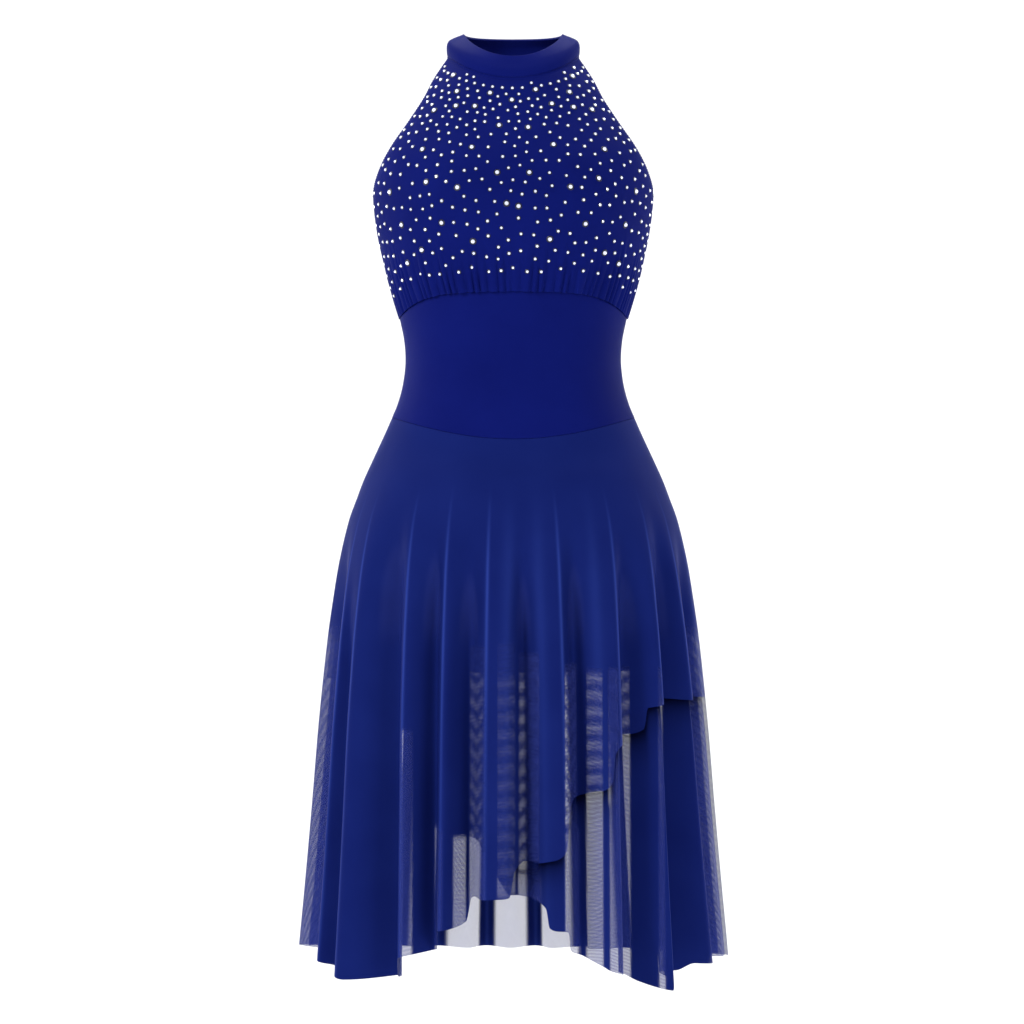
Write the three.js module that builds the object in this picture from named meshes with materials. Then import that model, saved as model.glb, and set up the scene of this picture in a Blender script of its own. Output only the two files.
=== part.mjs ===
// A sleeveless lyrical dance dress in its worn, hollow form: a stand collar, a halter bodice gathered
// into an arched empire seam, a smooth waistband, and a skirt of stretch net over a short lining.
// The front of the skirt is two crossing net panels, the outer one long on -X and short on +X and the
// inner one the other way round. The back of the skirt is one full-length net panel.
//
// Millimetres, +Z up. The front faces -Y and +X is on the viewer's right. The origin is the centre of
// the neck, level with the collar seam at the sides, which is where a wearer's neck carries the dress.
//
// A place on the cloth is an angle round the body (0 at the front centre, 90 at +X, 180 at the back
// centre) and a height. Each wall is an outer surface and an inner one, joined along its cut edges.
import * as THREE from "three";

const collarWall = 2.4;
const bodiceWall = 1.6;
const waistbandWall = 2.0;
const netWall = 1.2;
const liningWall = 1.2;
const seamGap = 0.3;

// How far the inner net panel lies inside the outer one, at the waist seam and where the skirt is full.
const netStep = { atSeam: netWall + seamGap, full: 3.8 };
const liningStep = 2 * (netWall + seamGap);

// Below the waist seam a tube leaves the waistband's line for its own outline over the first drop, and
// the lining gives up its room for the seam over the second.
const hipBlend = 45;
const liningEase = 90;

// Every net panel's rows lie at the same heights down to this drop, which takes this share of them.
const sharedRows = { drop: 130, share: 0.4 };

const bustLift = { rise: 6, apart: 70, spread: 40, height: -166, tall: 50 };

const gathers = {
  frontCount: 46,
  backCount: 40,
  rise: 1.5,
  reach: 42,
};

const colours = {
  knit: 0x12187a,
  studded: 0x10166e,
  net: 0x15227c,
  lining: 0x0b1250,
};

const table = (columns, rows) =>
  rows.map((row) => Object.fromEntries(row.map((value, i) => [columns[i], value])));

// The collar's rings from its seam up to its rim.
const collarRings = table(["level", "half", "front", "back"], [
  [0.0, 69.5, -62, 58],
  [0.4, 70.5, -60.5, 60],
  [0.75, 66, -56, 57],
  [1.0, 54.5, -50, 51],
]);
const collarRim = { side: 25.4, frontDrop: 31, backRise: 3 };

// The bodice's rings from the collar seam down to the empire seam. Above the underarm, at -148, the
// sides are the bound armhole edges, which stand in front of and behind the shoulder.
const bodiceRings = table(
  ["sideZ", "half", "frontSide", "backSide", "frontZ", "frontY", "backZ", "backY"],
  [
    [0, 69.5, 0, 0, -32, -62, 0, 58],
    [-25, 84, -16, 14, -52, -72.5, -26, 71],
    [-47, 94.5, -26, 23, -72, -84, -51, 82],
    [-72, 110, -33, 28, -95, -97, -78, 91],
    [-97.5, 127.5, -34, 28, -118, -109, -104, 96.5],
    [-123, 141.5, -24, 17, -140, -117.5, -129, 99],
    [-148, 148.2, -6, -4, -160, -122.5, -152, 99],
    [-187, 144, -5, -5, -190, -119.5, -188, 95],
    [-225, 135.5, -5, -5, -220, -110, -225, 87],
    [-250, 128.5, -5, -5, -238, -104, -250, 82],
    [-277, 120, -5, -5, -255, -99, -273, 78],
  ],
);

// The back's armhole edge stands this much inside the front's, between the neck and the underarm.
const backHalterInset = 4;

const waistbandRings = table(["sideZ", "half", "frontZ", "frontY", "backZ", "backY"], [
  [-277, 120, -255, -99, -273, 78],
  [-299, 115.5, -283, -91.5, -297, 75.5],
  [-320, 114, -313, -87, -320, 75],
  [-345, 116.5, -346, -90.5, -345, 79],
  [-366, 122, -378, -96, -367, 85],
  [-382, 128.5, -406, -101, -386, 92],
]);

// The skirt's outline over the crests of its folds.
const skirtOutline = table(["z", "half", "sideY", "frontY", "backY"], [
  [-382, 128.5, -5, -96, 91],
  [-403, 138, -5, -101, 100],
  [-426, 148.4, -4, -109, 112],
  [-447, 158, -3, -117, 121],
  [-468, 166, -2, -124, 129],
  [-490, 174, -1, -130, 136],
  [-532, 184, 0, -140, 147],
  [-574, 191, 0, -148, 155],
  [-617, 197, 0, -155, 161],
  [-702, 206, 0, -168, 173],
  [-786, 213, 0, -180, 184],
  [-871, 220.5, 0, -191, 195],
  [-940, 227, 0, -200, 204],
  [-980, 230, 0, -205, 209],
]);

const liningOutline = table(["z", "half", "sideY", "frontY", "backY"], [
  [-382, 125.5, -5, -93, 88],
  [-403, 134.5, -5, -98, 96.5],
  [-426, 143.5, -4, -104, 106.5],
  [-447, 150, -3, -108.5, 113.5],
  [-468, 154.5, -2, -111.5, 118],
  [-490, 158.5, -1, -113.5, 121],
  [-545, 163.5, 0, -115, 124],
  [-600, 164.5, 0, -114, 121],
  [-646, 163.5, 0, -112, 118],
]);
const liningHem = -645;

// The deepest a trough lies inside the outline at each height.
const foldDepth = table(["z", "depth"], [
  [-400, 0],
  [-430, 0.3],
  [-447, 1.5],
  [-468, 4],
  [-490, 7.5],
  [-532, 13.5],
  [-574, 19],
  [-617, 24],
  [-702, 30],
  [-786, 34.5],
  [-871, 38],
  [-980, 41],
]);
const foldFan = { top: -430, hem: -950 };
const foldStartLength = 90;
const troughLift = 3;

// Crests have share 0 and the deepest troughs 1. A fold fans from its top angle to its hem angle.
const frontFolds = table(["top", "hem", "share", "start"], [
  [-90, -90, 0, -430],
  [-77, -71, 0.8, -470],
  [-68.5, -63, 0, -430],
  [-64.5, -58.5, 0.45, -520],
  [-59, -53, 0, -430],
  [-43, -36, 1, -440],
  [-36.7, -30.5, 0, -430],
  [-26.5, -23.5, 1, -450],
  [-22.4, -19.5, 0, -430],
  [-14, -12.7, 1, -470],
  [-8.2, -7.6, 0, -430],
  [-1.5, -1.2, 0.02, -430],
  [3, 3.6, 1, -470],
  [8, 8.4, 0.02, -430],
  [14.6, 14.4, 0, -430],
  [20, 19.6, 1, -460],
  [27, 24.5, 0.1, -430],
  [34.9, 30, 0, -430],
  [38.8, 35, 1, -470],
  [51.5, 47, 0, -430],
  [57, 53.5, 1, -450],
  [65.5, 68, 0, -430],
  [75, 75, 0.8, -470],
  [84, 84, 0.05, -430],
  [90, 90, 0, -430],
]);
const backFolds = table(["top", "hem", "share", "start"], [
  [90, 90, 0, -430],
  [96, 96, 0.6, -480],
  [103, 103.5, 0, -430],
  [110, 109.5, 0.9, -460],
  [117, 118, 0, -430],
  [123, 123.5, 1, -450],
  [131, 131.5, 0, -430],
  [139, 138, 0.9, -490],
  [146, 145.5, 0, -430],
  [154, 153.5, 1, -455],
  [160, 159.5, 0, -430],
  [167, 167.5, 0.9, -470],
  [174, 173.5, 0, -430],
  [182, 181, 1, -460],
  [187, 187.5, 0, -430],
  [194, 195.5, 1, -450],
  [202, 202, 0, -430],
  [209, 208, 0.85, -500],
  [215, 214.5, 0, -430],
  [223, 222, 1, -455],
  [229, 228.5, 0, -430],
  [236, 236.5, 0.9, -465],
  [243, 242.5, 0, -430],
  [250, 250, 1, -450],
  [256, 256.5, 0, -430],
  [264, 264, 0.6, -475],
  [270, 270, 0, -430],
]);
// The hems, by angle. The two front panels cross just left of the front centre.
const overHem = table(["angle", "z"], [
  [-90, -938],
  [-66, -941],
  [-57, -950],
  [-50, -956],
  [-38, -954],
  [-33, -948],
  [-30.5, -927],
  [-22.5, -923],
  [-20, -899],
  [-15, -895],
  [-13.2, -888],
  [-11.8, -871],
  [-7, -867],
  [-2, -864],
  [1.5, -838],
  [8, -830],
  [12.5, -823],
  [15, -809],
  [16.6, -786],
  [24, -761],
  [28.4, -751],
  [30.4, -723],
  [43, -704],
  [45.4, -681],
  [62, -676],
  [90, -676],
]);
const underHem = table(["angle", "z"], [
  [-90, -655],
  [-54, -669],
  [-40, -690],
  [-34, -700],
  [-28.5, -708],
  [-24, -752],
  [-19, -796],
  [-13.5, -811],
  [-7, -828],
  [-2, -857],
  [3, -869],
  [7.6, -875],
  [9.6, -893],
  [15, -900],
  [18, -922],
  [25, -938],
  [34, -948],
  [39, -959],
  [46, -964],
  [50, -957],
  [58, -955],
  [63, -947],
  [90, -949],
]);
const backHem = table(["angle", "z"], [
  [90, -951],
  [120, -962],
  [150, -970],
  [180, -972],
  [210, -968],
  [240, -956],
  [270, -940],
]);

const clamp01 = (t) => Math.min(1, Math.max(0, t));
const smooth = (t) => clamp01(t) ** 2 * (3 - 2 * clamp01(t));
const mix = (a, b, t) => a + (b - a) * t;
const radians = THREE.MathUtils.degToRad;

// A smooth curve through a table's rows, read at one column's value. It never swings past a row's own
// value between rows, and beyond the table's ends it stays level.
function curve(rows, by, key) {
  const x = rows.map((r) => r[by]);
  const y = rows.map((r) => r[key]);
  const chord = (a, b) => (y[b] - y[a]) / (x[b] - x[a]);
  const slope = x.map((_, i) => {
    if (i === 0) return chord(0, 1);
    if (i === x.length - 1) return chord(i - 1, i);
    const before = chord(i - 1, i);
    const after = chord(i, i + 1);
    if (before * after <= 0) return 0;
    const least = 3 * Math.min(Math.abs(before), Math.abs(after));
    return Math.sign(before) * Math.min(least, Math.abs(chord(i - 1, i + 1)));
  });
  const rising = x.at(-1) > x[0];
  return (at) => {
    let i = 0;
    while (i < x.length - 2 && (rising ? at > x[i + 1] : at < x[i + 1])) i++;
    const width = x[i + 1] - x[i];
    const t = clamp01((at - x[i]) / width);
    const t2 = t * t;
    const t3 = t2 * t;
    return (
      y[i] * (2 * t3 - 3 * t2 + 1) +
      slope[i] * width * (t3 - 2 * t2 + t) +
      y[i + 1] * (3 * t2 - 2 * t3) +
      slope[i + 1] * width * (t3 - t2)
    );
  };
}

const curves = (rows, by, keys) =>
  Object.fromEntries(keys.map((key) => [key, curve(rows, by, key)]));

// A point of a half-elliptical section, from its half width, side line and front or back line.
function sectionPoint(angle, z, half, sideY, endY) {
  const a = radians(angle);
  return new THREE.Vector3(half * Math.sin(a), sideY + (endY - sideY) * Math.abs(Math.cos(a)), z);
}

// How far towards its front or back height a seam has come at an angle: 0 at the sides, 1 at the centre.
const neckSeam = (angle) => Math.abs(Math.cos(radians(angle))) ** 1.5;
const empireSeam = (angle) => 1 - Math.abs(Math.sin(radians(angle))) ** 5;
const waistSeam = (angle) => Math.abs(Math.cos(radians(angle))) ** 2.2;

const sideOf = (angle) => (Math.cos(radians(angle)) > 0 ? "front" : "back");
const isFront = (angle) => sideOf(angle) === "front";

// A panel's ring at a level from 0 to 1, where rings are evenly spaced levels of a table.
function ringReader(rings) {
  const levelled = rings.map((ring, i) => ({ ...ring, level: i / (rings.length - 1) }));
  return curves(levelled, "level", Object.keys(rings[0]));
}

const bodice = ringReader(bodiceRings);
const waistband = ringReader(waistbandRings);
const skirt = curves(skirtOutline, "z", ["half", "sideY", "frontY", "backY"]);
const lining = curves(liningOutline, "z", ["half", "sideY", "frontY", "backY"]);
const collar = curves(collarRings, "level", ["half", "front", "back"]);
const depthAt = curve(foldDepth, "z", "depth");
const hems = {
  over: curve(overHem, "angle", "z"),
  under: curve(underHem, "angle", "z"),
  back: curve(backHem, "angle", "z"),
};

function bodicePoint(side, angle, level) {
  const front = side === "front";
  const arch = mix(neckSeam(angle), empireSeam(angle), smooth(level));
  const sideZ = bodice.sideZ(level);
  const z = mix(sideZ, front ? bodice.frontZ(level) : bodice.backZ(level), arch);
  const halter = smooth(-sideZ / 40) * smooth((sideZ + 150) / 40);
  const half = bodice.half(level) - (front ? 0 : backHalterInset * halter);
  const sideY = front ? bodice.frontSide(level) : bodice.backSide(level);
  const p = sectionPoint(angle, z, half, sideY, front ? bodice.frontY(level) : bodice.backY(level));
  if (front) {
    const across = (Math.abs(p.x) - bustLift.apart) / bustLift.spread;
    const up = (p.z - bustLift.height) / bustLift.tall;
    p.y -= bustLift.rise * Math.exp(-across * across - up * up);
  }
  return p;
}

function waistbandPoint(angle, level) {
  const front = isFront(angle);
  const arch = mix(empireSeam(angle), waistSeam(angle), smooth(level));
  const z = mix(waistband.sideZ(level), front ? waistband.frontZ(level) : waistband.backZ(level), arch);
  const endY = front ? waistband.frontY(level) : waistband.backY(level);
  return sectionPoint(angle, z, waistband.half(level), -5, endY);
}

// The folds' share of the full depth at an angle and height, before it is softened.
function foldShare(folds, angle, z) {
  const fan = clamp01((z - foldFan.top) / (foldFan.hem - foldFan.top));
  const at = (fold) => mix(fold.top, fold.hem, fan);
  const depth = (fold) => fold.share * smooth((fold.start - z) / foldStartLength);
  let i = 0;
  while (i < folds.length - 2 && angle > at(folds[i + 1])) i++;
  const t = smooth((angle - at(folds[i])) / (at(folds[i + 1]) - at(folds[i])));
  return mix(depth(folds[i]), depth(folds[i + 1]), t);
}

// The same, softened over a few degrees so that no crest is sharper than cloth can turn.
const softening = table(["offset", "weight"], [
  [-3, 0.08],
  [-2, 0.15],
  [-1, 0.22],
  [0, 0.25],
  [1, 0.22],
  [2, 0.15],
  [3, 0.08],
]);
function softFoldShare(folds, angle, z) {
  let sum = 0;
  let weights = 0;
  for (const { offset, weight } of softening) {
    sum += weight * foldShare(folds, angle + offset, z);
    weights += weight;
  }
  return sum / weights;
}

// A point of a tube that runs on from the waistband's slope and takes its own outline below it.
function hangingPoint(outline, angle, drop, z, inset) {
  const ring = waistbandPoint(angle, 1);
  const above = waistbandPoint(angle, 0.9);
  const run = drop / (above.z - ring.z);
  const endY = isFront(angle) ? outline.frontY(z) : outline.backY(z);
  const p = sectionPoint(angle, z, outline.half(z), outline.sideY(z), endY);
  const turn = smooth(drop / hipBlend);
  const flat = new THREE.Vector2(
    mix(ring.x + (ring.x - above.x) * run, p.x, turn),
    mix(ring.y + (ring.y - above.y) * run, p.y, turn),
  );
  const depthY = Math.abs(endY - outline.sideY(z));
  const normal = new THREE.Vector2(
    flat.x / outline.half(z) ** 2,
    (flat.y - outline.sideY(z)) / depthY ** 2,
  ).normalize();
  return new THREE.Vector3(flat.x - normal.x * inset, flat.y - normal.y * inset, z);
}

function waistHeight(angle) {
  return waistbandPoint(angle, 1).z - seamGap;
}

function netDrop(folds, hem, angle, level) {
  const below = (level - sharedRows.share) / (1 - sharedRows.share);
  if (below < 0) return (sharedRows.drop * level) / sharedRows.share;
  const bottom = hem(angle) + troughLift * softFoldShare(folds, angle, hem(angle));
  return mix(sharedRows.drop, waistHeight(angle) - bottom, below);
}

function skirtPoint(folds, hem, angle, level) {
  const drop = netDrop(folds, hem, angle, level);
  const z = waistHeight(angle) - drop;
  return hangingPoint(skirt, angle, drop, z, depthAt(z) * softFoldShare(folds, angle, z));
}

function liningPoint(angle, level) {
  const top = waistHeight(angle);
  const z = mix(top, liningHem, level);
  const drop = top - z;
  const inset = liningStep * (1 - smooth(drop / liningEase));
  return hangingPoint(lining, angle, drop, z, inset);
}

function collarPoint(angle, level) {
  const seamZ = bodicePoint(sideOf(angle), angle, 0).z + seamGap;
  const c = Math.cos(radians(angle));
  const rim = c > 0 ? -collarRim.frontDrop * c ** 1.35 : collarRim.backRise * c * c;
  const end = c > 0 ? collar.front(level) : collar.back(level);
  return sectionPoint(angle, mix(seamZ, collarRim.side + rim, level), collar.half(level), 0, end);
}

// The outward normal of a surface at a place, by small steps along it. At a panel's cut edges it is
// kept level or square to the side seam, so that pieces meet face to face.
function normalAt(surface, angle, level, from, to) {
  const step = { angle: 1.1, level: 0.004 };
  const a0 = Math.max(from, angle - step.angle);
  const a1 = Math.min(to, angle + step.angle);
  const l0 = Math.max(0, level - step.level);
  const l1 = Math.min(1, level + step.level);
  const along = surface(a1, level).sub(surface(a0, level));
  const down = surface(angle, l1).sub(surface(angle, l0));
  const normal = down.cross(along);
  if (angle <= from || angle >= to) normal.y = 0;
  if (level <= 0 || level >= 1) normal.z = 0;
  return normal.normalize();
}

// A copy of a surface moved out along its own normals, or in where the distance is negative.
function moved(surface, distance, from, to) {
  return (angle, level) => {
    const by = typeof distance === "number" ? distance : distance(angle, level);
    const normal = normalAt(surface, angle, level, from, to);
    return surface(angle, level).addScaledVector(normal, by);
  };
}

// Front pieces stop half a seam gap before the side line and back pieces half a gap behind it.
const partedAtSides = (surface, side) => (angle, level) => {
  const p = surface(angle, level);
  p.y += side === "front" ? -seamGap / 2 : seamGap / 2;
  return p;
};

// A row of a surface: its points, and how far along the row each one is.
const row = (surface, angles, level) =>
  angles.map((angle) => ({
    at: (angle - angles[0]) / (angles.at(-1) - angles[0]),
    point: surface(angle, level),
  }));

const evenly = (from, to, count) =>
  Array.from({ length: count + 1 }, (_, i) => mix(from, to, i / count));

// A closed wall between outer rows and inner rows, which run the same way. Rows of any lengths are
// joined by triangles that advance along both. A closed ring's last point is its first.
function wall(outerRows, innerRows, isRing) {
  const points = [];
  const triangles = [];
  const place = (rows) =>
    rows.map((cells, r) => {
      const level = r / (rows.length - 1);
      const kept = isRing ? cells.slice(0, -1) : cells;
      const first = points.length;
      kept.forEach(({ point }) => points.push(point));
      return cells.map(({ at }, i) => ({ at, level, id: first + (i % kept.length) }));
    });
  const outer = place(outerRows);
  const inner = place(innerRows);

  const join = (a, b, by) => {
    let i = 0;
    let j = 0;
    while (i < a.length - 1 || j < b.length - 1) {
      const stepA = j === b.length - 1 || (i < a.length - 1 && a[i + 1][by] <= b[j + 1][by]);
      triangles.push(stepA ? [a[i].id, b[j].id, a[i + 1].id] : [a[i].id, b[j].id, b[j + 1].id]);
      if (stepA) i++;
      else j++;
    }
  };
  for (let r = 0; r < outer.length - 1; r++) join(outer[r], outer[r + 1], "at");
  for (let r = 0; r < inner.length - 1; r++) join(inner[r + 1], inner[r], "at");
  join(inner[0], outer[0], "at");
  join(outer.at(-1), inner.at(-1), "at");
  if (!isRing) {
    const ends = (rows, pick) => rows.map((cells) => cells.at(pick));
    join(ends(outer, 0), ends(inner, 0), "level");
    join(ends(inner, -1), ends(outer, -1), "level");
  }

  const geometry = new THREE.BufferGeometry();
  geometry.setAttribute(
    "position",
    new THREE.Float32BufferAttribute(points.flatMap((p) => p.toArray()), 3),
  );
  geometry.setIndex(facingOut(points, triangles).flat());
  geometry.computeVertexNormals();
  return geometry;
}

function facingOut(points, triangles) {
  const volume = triangles.reduce(
    (sum, [a, b, c]) => sum + points[a].dot(points[b].clone().cross(points[c])),
    0,
  );
  return volume > 0 ? triangles : triangles.map(([a, b, c]) => [a, c, b]);
}

const knitCloth = (name, colour, roughness) =>
  new THREE.MeshStandardMaterial({ name, color: colour, roughness, metalness: 0 });

const cloths = {
  knit: knitCloth("spandex", colours.knit, 0.5),
  studded: knitCloth("spandex_bodice", colours.studded, 0.55),
  net: knitCloth("stretch_net", colours.net, 0.6),
  lining: knitCloth("lining", colours.lining, 0.7),
};

const dress = new THREE.Group();

function sew(name, geometry, cloth) {
  const piece = new THREE.Mesh(geometry, cloth);
  piece.name = name;
  dress.add(piece);
}

// A wall of even thickness. Its top row can be finer than the rest, to match the piece above.
function plainWall(surface, thickness, angles, levels, topAngles = angles) {
  const inside = moved(surface, -thickness, angles[0], angles.at(-1));
  const rows = (face) =>
    levels.map((level, i) => row(face, i === 0 ? topAngles : angles, level));
  return wall(rows(surface), rows(inside), false);
}

function makeCollar() {
  const angles = evenly(-180, 180, 60);
  const levels = [0, 0.35, 0.65, 0.88, 1];
  const inside = moved(collarPoint, -collarWall, -Infinity, Infinity);
  const rows = (face) => levels.map((level) => row(face, angles, level));
  sew("collar", wall(rows(collarPoint), rows(inside), true), cloths.knit);
}

// Each gather is one crest between two troughs, raised on the outside only.
const gatherAngles = (from, to, count) => evenly(from, to, 2 * count);
const gatherLevels = [0.87, 0.94, 1];

function makeBodice(name, side, from, to, count) {
  const shape = partedAtSides((angle, level) => {
    const p = bodicePoint(side, angle, level);
    p.z += seamGap * level;
    return p;
  }, side);
  const angles = evenly(from, to, 30);
  const fine = gatherAngles(from, to, count);
  const strength = (i) => 0.65 + 0.35 * Math.sin(2.4 * i);
  const gathered = (level) =>
    fine.map((angle, i) => {
      const height = shape(angle, level).z - shape(angle, 1).z;
      const rise = i % 2 ? gathers.rise * strength(i) * smooth(1 - height / gathers.reach) : 0;
      return { at: i / (2 * count), point: moved(shape, rise, from, to)(angle, level) };
    });
  const plain = [0, 0.1, 0.2, 0.3, 0.4, 0.5, 0.6, 0.7, 0.79].map((level) => row(shape, angles, level));
  const inside = moved(shape, -bodiceWall, from, to);
  const inner = [0, 0.13, 0.26, 0.4, 0.55, 0.7, 0.85, 1].map((level) => row(inside, angles, level));
  sew(name, wall([...plain, ...gatherLevels.map(gathered)], inner, false), cloths.studded);
}

// A net panel's columns follow its folds: some in each flank, by how wide it is at the hem.
function foldColumns(folds) {
  const columns = [];
  for (let i = 0; i < folds.length - 1; i++) {
    const width = folds[i + 1].hem - folds[i].hem;
    const steps = width > 15 ? 6 : width > 9 ? 5 : width > 5.4 ? 4 : 3;
    for (let s = 0; s < steps; s++) columns.push(i + s / steps);
  }
  return [...columns, folds.length - 1];
}

// Above the folds some of the columns are enough, at least this many degrees apart.
const smoothSpacing = 5;
function smoothColumns(folds) {
  const end = folds.length - 1;
  const kept = [0];
  for (const column of foldColumns(folds)) {
    const beyond = columnAngle(folds, column, 0) - columnAngle(folds, kept.at(-1), 0);
    const left = columnAngle(folds, end, 0) - columnAngle(folds, column, 0);
    if (beyond >= smoothSpacing && left >= smoothSpacing) kept.push(column);
  }
  return [...kept, end];
}

// The angle of a column at a height: it fans out with the folds on either side of it.
function columnAngle(folds, column, z) {
  const i = Math.min(folds.length - 2, Math.floor(column));
  const fan = clamp01((z - foldFan.top) / (foldFan.hem - foldFan.top));
  const at = (fold) => mix(fold.top, fold.hem, fan);
  return mix(at(folds[i]), at(folds[i + 1]), column - i);
}

const seamAngles = (folds) => smoothColumns(folds).map((column) => columnAngle(folds, column, 0));

function makeWaistband(name, side, folds, gatherCount) {
  const angles = seamAngles(folds);
  const topAngles = gatherAngles(angles[0], angles.at(-1), gatherCount);
  const shape = partedAtSides(waistbandPoint, side);
  sew(name, plainWall(shape, waistbandWall, angles, evenly(0, 1, 5), topAngles), cloths.knit);
}

function makeLining(name, side, folds) {
  const levels = [0, 0.06, 0.14, 0.26, 0.45, 0.72, 1];
  const shape = partedAtSides(liningPoint, side);
  sew(name, plainWall(shape, liningWall, seamAngles(folds), levels), cloths.lining);
}

const netRows = table(["level", "folded"], [
  [0, false],
  [0.05, false],
  [0.1, false],
  [0.17, true],
  [0.27, true],
  [0.4, true],
  [0.6, true],
  [0.8, true],
  [1, true],
]);

function makeNetPanel(name, side, folds, hem, step) {
  const end = folds.length - 1;
  const surface = partedAtSides((angle, level) => skirtPoint(folds, hem, angle, level), side);
  const inwards = (extra) =>
    moved(
      surface,
      (angle, level) => {
        const drop = netDrop(folds, hem, angle, level);
        return -mix(step.atSeam, step.full, smooth(drop / hipBlend)) - extra;
      },
      folds[0].hem,
      folds[end].hem,
    );
  const angleOf = (column, level) => {
    let angle = columnAngle(folds, column, foldFan.hem);
    for (let i = 0; i < 4; i++) {
      const z = waistHeight(angle) - netDrop(folds, hem, angle, level);
      angle = columnAngle(folds, column, z);
    }
    return angle;
  };
  const rows = (face) =>
    netRows.map(({ level, folded }) =>
      (folded ? foldColumns(folds) : smoothColumns(folds)).map((column) => ({
        at: column / end,
        point: face(angleOf(column, level), level),
      })),
    );
  sew(name, wall(rows(inwards(0)), rows(inwards(netWall)), false), cloths.net);
}

makeCollar();
makeBodice("bodice_front", "front", -90, 90, gathers.frontCount);
makeBodice("bodice_back", "back", 90, 270, gathers.backCount);
makeWaistband("waistband_front", "front", frontFolds, gathers.frontCount);
makeWaistband("waistband_back", "back", backFolds, gathers.backCount);
makeNetPanel("skirt_front_over", "front", frontFolds, hems.over, { atSeam: 0, full: 0 });
makeNetPanel("skirt_front_under", "front", frontFolds, hems.under, netStep);
makeNetPanel("skirt_back", "back", backFolds, hems.back, { atSeam: 0, full: 0 });
makeLining("lining_front", "front", frontFolds);
makeLining("lining_back", "back", backFolds);

export default dress;
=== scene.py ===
# %% [markdown]
# # A lyrical dance dress
#
# The real dress is a blue halter leotard top with a net skirt. A stand collar carries a bodice that is
# studded with stones and gathered into an arched seam. Below it are a smooth waistband and a skirt of
# stretch net over a short lining. The front of the skirt is two net panels that cross.
#
# Each cell makes one piece or one finish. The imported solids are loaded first, and every piece here keeps
# within a few millimetres of the solid that it stands for, in the same frame: metres, +Z up, the front
# towards -Y.

# %% Load the frame
import math

import bpy
import numpy as np
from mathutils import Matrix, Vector


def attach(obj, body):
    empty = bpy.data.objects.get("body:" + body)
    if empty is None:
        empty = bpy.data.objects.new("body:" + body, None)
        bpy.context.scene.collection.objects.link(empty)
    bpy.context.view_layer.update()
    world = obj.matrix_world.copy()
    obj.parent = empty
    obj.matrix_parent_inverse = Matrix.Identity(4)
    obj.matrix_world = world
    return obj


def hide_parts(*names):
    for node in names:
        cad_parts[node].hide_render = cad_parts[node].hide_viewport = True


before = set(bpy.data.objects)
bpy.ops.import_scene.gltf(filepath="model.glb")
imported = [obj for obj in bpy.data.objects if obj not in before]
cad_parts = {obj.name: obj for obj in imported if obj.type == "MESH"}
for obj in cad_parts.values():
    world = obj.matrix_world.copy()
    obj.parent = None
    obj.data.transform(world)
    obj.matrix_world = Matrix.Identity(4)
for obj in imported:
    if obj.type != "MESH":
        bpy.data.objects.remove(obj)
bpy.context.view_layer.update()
print("solids:", sorted(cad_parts))

# %% [markdown]
# ## Sizes, tables and curves
#
# A maker works in millimetres, so the sizes below are millimetres too, and one constant turns them into
# Blender's metres. A place on the cloth is an angle round the body, 0 at the front centre, 90 at the
# wearer's side on +X and 180 at the back centre, and a level down the piece from 0 to 1.
#
# The forms are the solids' own but for small changes: short tables of rings, read through a smooth curve
# that never swings past its rows.

# %% Tables and curves
MM = 0.001
SEAM_GAP = 0.3


def table(columns, rows):
    return {name: np.array([row[i] for row in rows], float) for i, name in enumerate(columns)}


def curve(x, y):
    """A function that reads y by x and never swings past its neighbours."""
    if x[0] > x[-1]:
        x, y = x[::-1], y[::-1]
    chord = np.diff(y) / np.diff(x)
    before, after = chord[:-1], chord[1:]
    across = (y[2:] - y[:-2]) / (x[2:] - x[:-2])
    least = 3 * np.minimum(abs(before), abs(after))
    inner = np.where(before * after <= 0, 0, np.sign(before) * np.minimum(least, abs(across)))
    slope = np.concatenate([chord[:1], inner, chord[-1:]])

    def read(at):
        i = np.clip(np.searchsorted(x, at, side="right") - 1, 0, len(x) - 2)
        width = x[i + 1] - x[i]
        t = np.clip((at - x[i]) / width, 0, 1)
        rise = 3 * t**2 - 2 * t**3
        bend = slope[i] * (t**3 - 2 * t**2 + t) + slope[i + 1] * (t**3 - t**2)
        return y[i] * (1 - rise) + y[i + 1] * rise + width * bend

    return read


def curves(columns, rows):
    """A curve for every column after the first one, by which they are read."""
    made = table(columns, rows)
    return {key: curve(made[columns[0]], made[key]) for key in columns[1:]}


def rings(columns, rows):
    """The same for evenly spaced rings, which are read by level."""
    levels = np.linspace(0, 1, len(rows))
    return curves(["level", *columns], [[level, *row] for level, row in zip(levels, rows)])


def smooth(t):
    t = np.clip(t, 0, 1)
    return t * t * (3 - 2 * t)


def mix(a, b, t):
    return a + (b - a) * t


def cosine(angle):
    return np.abs(np.cos(np.radians(angle)))


def section(angle, z, half, side_y, end_y):
    """A point on half an ellipse, from its half width, its side line and its front or back line."""
    x = half * np.sin(np.radians(angle))
    y = side_y + (end_y - side_y) * cosine(angle)
    return np.stack([x, y, z + 0 * x], axis=-1)


# %% [markdown]
# ## The bodice and the waistband
#
# A halter front is one panel that runs from the collar to the empire seam. Its armhole edges stand in
# front of the shoulder, and the bust fills it out in two soft lobes. The waistband is a smooth band, with
# an arched seam above it and a dipped seam below.

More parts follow.
